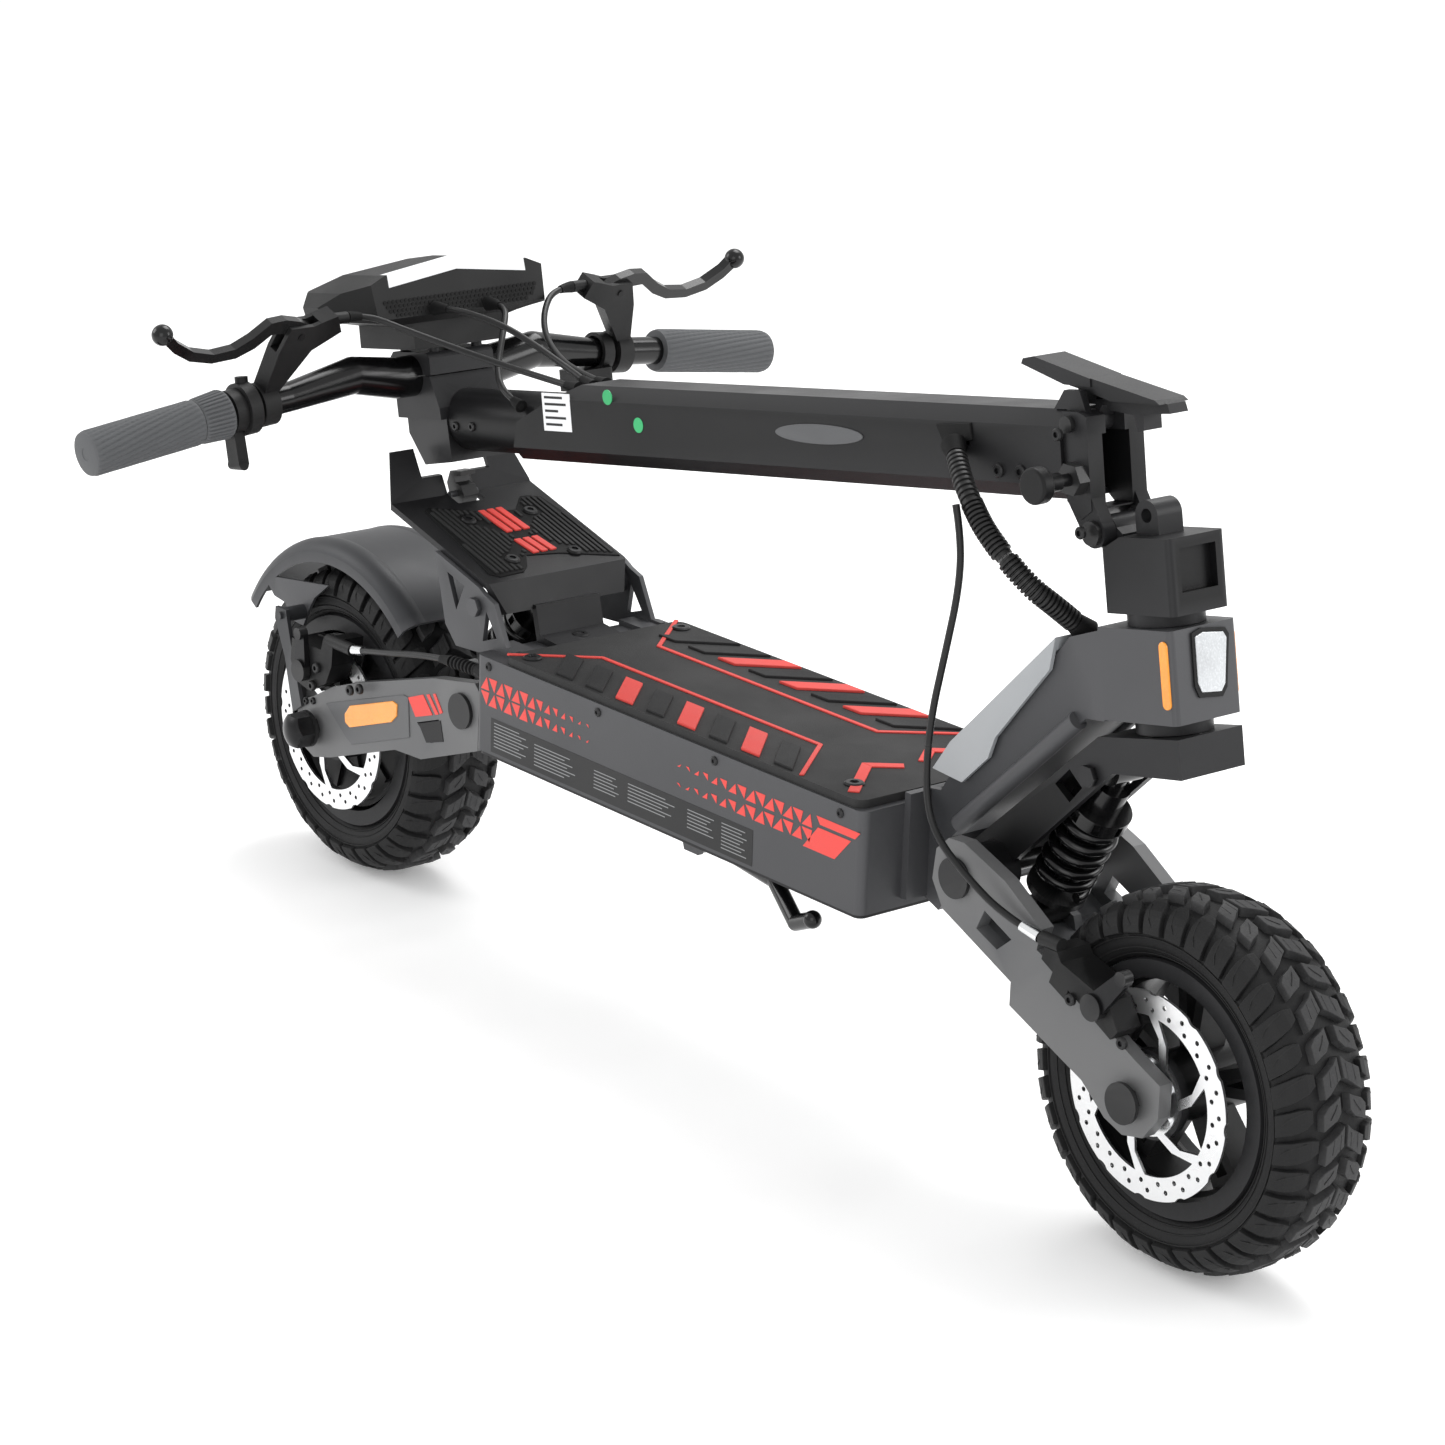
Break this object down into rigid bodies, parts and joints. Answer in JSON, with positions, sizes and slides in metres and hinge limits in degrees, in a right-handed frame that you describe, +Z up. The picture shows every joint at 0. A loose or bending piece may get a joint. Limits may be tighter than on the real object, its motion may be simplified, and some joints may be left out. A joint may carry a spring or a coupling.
{
  "type": "folding electric kick scooter",
  "caption": "Folding electric kick scooter, shown folded: sprung wheels, rear hub motor, box deck, octagonal stem, wide display and two brake levers.",
  "frame": {"origin": "middle of the bounding box in plan, on the ground under the tyres", "axes": "+X ahead towards the front wheel, +Y to the rider's left, +Z up"},
  "size_m": [1.1836, 0.6416, 0.5716],
  "materials": {
    "frame_paint": "satin gunmetal powder coat",
    "black_paint": "satin black powder coat",
    "spring_black": "gloss black",
    "mat_rubber": "textured",
    "cover_grey": "moulded",
    "black_plastic": "moulded, fine grain",
    "display_plastic": "carbon-look print under gloss",
    "window_plastic": "translucent",
    "grip_rubber": "ribbed",
    "tyre": "moulded tread",
    "steel": "zinc plated and stainless",
    "alloy": "machined",
    "rim_black": "satin black casting",
    "cable_black": "extruded sheath",
    "battery": "shrink wrap"
  },
  "bodies": {
    "frame": {"deck_box": "frame_paint", "deck_mat": "mat_rubber", "deck_bottom_cover": "black_paint", "battery_pack": "battery", "motor_controller": "alloy", "neck_frame": "frame_paint", "head_tube": "frame_paint", "neck_cover": "cover_grey", "headset_bearings": "steel", "foot_plate": "black_paint", "steel_brackets": "black_paint", "rear_pivot_bolt": "steel", "loom_lower": "cable_black"},
    "stem_hook": {"stem_hook": "black_paint"},
    "kickstand": {"kickstand": "black_paint"},
    "steering": {"fork": "black_paint", "stem_base": "black_paint", "front_pivot_bolt": "steel"},
    "front_arm": {"front_swing_arm": "frame_paint", "front_axle": "steel", "front_caliper": "black_paint", "front_brake_cable_lower": "cable_black"},
    "rear_arm": {"rear_swing_arm": "frame_paint", "rear_axle": "steel", "rear_caliper": "black_paint", "rear_fender": "frame_paint", "rear_brake_cable": "cable_black"},
    "front_caliper_arm": {"front_caliper_arm": "steel"},
    "rear_caliper_arm": {"rear_caliper_arm": "steel"},
    "front_shock_lower": {"front_shock_lower": "alloy", "front_spring": "spring_black"},
    "front_shock_upper": {"front_shock_upper": "black_paint"},
    "rear_shock_lower": {"rear_shock_lower": "alloy", "rear_spring": "spring_black"},
    "rear_shock_upper": {"rear_shock_upper": "black_paint"},
    "front_wheel": {"front_tyre": "tyre", "front_rim": "rim_black", "front_rotor": "steel"},
    "rear_wheel": {"rear_tyre": "tyre", "rear_motor_hub": "rim_black", "rear_rotor": "steel"},
    "stem": {"stem_tube": "black_paint", "hinge_casting": "black_paint", "stem_pins": "steel", "handlebar": "black_paint", "handlebar_clamp": "black_paint", "grips": "grip_rubber", "lever_perches": "black_plastic", "bar_controls": "black_plastic", "display_housing": "display_plastic", "display_windows": "window_plastic", "loom_upper": "cable_black", "front_brake_cable_upper": "cable_black", "handlebar_cables": "cable_black"},
    "latch_lever": {"latch_lever": "black_paint"},
    "lock_knob": {"lock_knob": "black_plastic"},
    "right_brake_lever": {"right_brake_lever": "black_paint"},
    "left_brake_lever": {"left_brake_lever": "black_paint"},
    "throttle_lever": {"throttle_lever": "black_plastic"},
    "switch_button": {"switch_button": "black_plastic"}
  },
  "joints": [
    {"name": "steering_turn", "type": "hinge", "parent": "frame", "child": "steering", "pos_m": [0.4127, 0, 0.4], "axis": [-0.1908, 0, 0.9816], "range_deg": [-40, 40], "deforming": ["loom_lower", "loom_upper", "front_brake_cable_upper"]},
    {"name": "stem_fold", "type": "hinge", "parent": "steering", "child": "stem", "pos_m": [0.363, 0, 0.4726], "axis": [0, 1, 0], "range_deg": [0, 88.6], "deforming": ["loom_upper", "front_brake_cable_upper"]},
    {"name": "front_suspension", "type": "hinge", "parent": "steering", "child": "front_arm", "pos_m": [0.2938, 0, 0.2274], "axis": [0, -1, 0], "range_deg": [0, 12], "stiffness_Nm_per_rad": 420, "springref_deg": -6.88, "deforming": ["front_spring", "front_brake_cable_lower"]},
    {"name": "rear_suspension", "type": "hinge", "parent": "frame", "child": "rear_arm", "pos_m": [-0.2621, 0, 0.195], "axis": [0, 1, 0], "range_deg": [0, 10], "stiffness_Nm_per_rad": 500, "springref_deg": -8.02, "deforming": ["rear_spring", "rear_brake_cable"]},
    {"name": "front_wheel_spin", "type": "hinge", "parent": "front_arm", "child": "front_wheel", "pos_m": [0.4643, 0, 0.1275], "axis": [0, 1, 0], "continuous": true},
    {"name": "rear_wheel_spin", "type": "hinge", "parent": "rear_arm", "child": "rear_wheel", "pos_m": [-0.4643, 0, 0.1275], "axis": [0, 1, 0], "continuous": true},
    {"name": "front_shock_upper_pivot", "type": "hinge", "parent": "steering", "child": "front_shock_upper", "pos_m": [0.3777, 0, 0.3152], "axis": [0, -1, 0], "range_deg": [0, 1.5]},
    {"name": "front_shock_lower_pivot", "type": "hinge", "parent": "front_arm", "child": "front_shock_lower", "pos_m": [0.314, 0, 0.199], "axis": [0, -1, 0], "range_deg": [-12, 0]},
    {"name": "rear_shock_upper_pivot", "type": "hinge", "parent": "frame", "child": "rear_shock_upper", "pos_m": [-0.236, 0, 0.285], "axis": [0, 1, 0], "range_deg": [0, 3]},
    {"name": "rear_shock_lower_pivot", "type": "hinge", "parent": "rear_arm", "child": "rear_shock_lower", "pos_m": [-0.312, 0, 0.203], "axis": [0, 1, 0], "range_deg": [-9, 0]},
    {"name": "latch_lever_pivot", "type": "hinge", "parent": "stem", "child": "latch_lever", "pos_m": [0.33611, 0, 0.53803], "axis": [0, -1, 0], "range_deg": [0, 17], "stiffness_Nm_per_rad": 1, "springref_deg": -17.19},
    {"name": "lock_knob_slide", "type": "slide", "parent": "stem", "child": "lock_knob", "axis": [0, 1, 0], "range_m": [0, 0.008]},
    {"name": "right_brake_lever_pivot", "type": "hinge", "parent": "stem", "child": "right_brake_lever", "pos_m": [-0.35899, -0.15, 0.48033], "axis": [0.9448, 0, -0.3276], "range_deg": [0, 17], "stiffness_Nm_per_rad": 3, "springref_deg": -28.65},
    {"name": "left_brake_lever_pivot", "type": "hinge", "parent": "stem", "child": "left_brake_lever", "pos_m": [-0.35899, 0.15, 0.48033], "axis": [-0.9448, 0, 0.3276], "range_deg": [0, 17], "stiffness_Nm_per_rad": 3, "springref_deg": -28.65},
    {"name": "front_caliper_arm_pivot", "type": "hinge", "parent": "front_arm", "child": "front_caliper_arm", "pos_m": [0.437, 0, 0.185], "axis": [0, -1, 0], "range_deg": [0, 16]},
    {"name": "rear_caliper_arm_pivot", "type": "hinge", "parent": "rear_arm", "child": "rear_caliper_arm", "pos_m": [-0.468, 0, 0.176], "axis": [0, 1, 0], "range_deg": [0, 16]},
    {"name": "throttle_turn", "type": "hinge", "parent": "stem", "child": "throttle_lever", "pos_m": [-0.37871, -0.193, 0.42133], "axis": [-0.0028, -0.9957, -0.0923], "range_deg": [0, 40], "stiffness_Nm_per_rad": 0.3, "springref_deg": -28.65},
    {"name": "switch_button_press", "type": "slide", "parent": "stem", "child": "switch_button", "axis": [-0.1668, 0, 0.986], "range_m": [0, 0.0025], "stiffness_N_per_m": 400, "springref_m": -0.003},
    {"name": "kickstand_swing", "type": "hinge", "parent": "frame", "child": "kickstand", "pos_m": [0.01, -0.044, 0.168], "axis": [0, 1, 0], "range_deg": [0, 76]},
    {"name": "stem_hook_pivot", "type": "hinge", "parent": "frame", "child": "stem_hook", "pos_m": [-0.352, 0, 0.3375], "axis": [0, 1, 0], "range_deg": [0, 40]}
  ],
  "couplings": [
    {"joint": "front_shock_upper_pivot", "follows": "front_suspension", "ratio": 0.09397},
    {"joint": "front_shock_lower_pivot", "follows": "front_suspension", "ratio": -0.90603},
    {"joint": "rear_shock_upper_pivot", "follows": "rear_suspension", "ratio": 0.23289},
    {"joint": "rear_shock_lower_pivot", "follows": "rear_suspension", "ratio": -0.76711},
    {"joint": "front_caliper_arm_pivot", "follows": "right_brake_lever_pivot", "ratio": 0.88},
    {"joint": "rear_caliper_arm_pivot", "follows": "left_brake_lever_pivot", "ratio": 0.88}
  ]
}
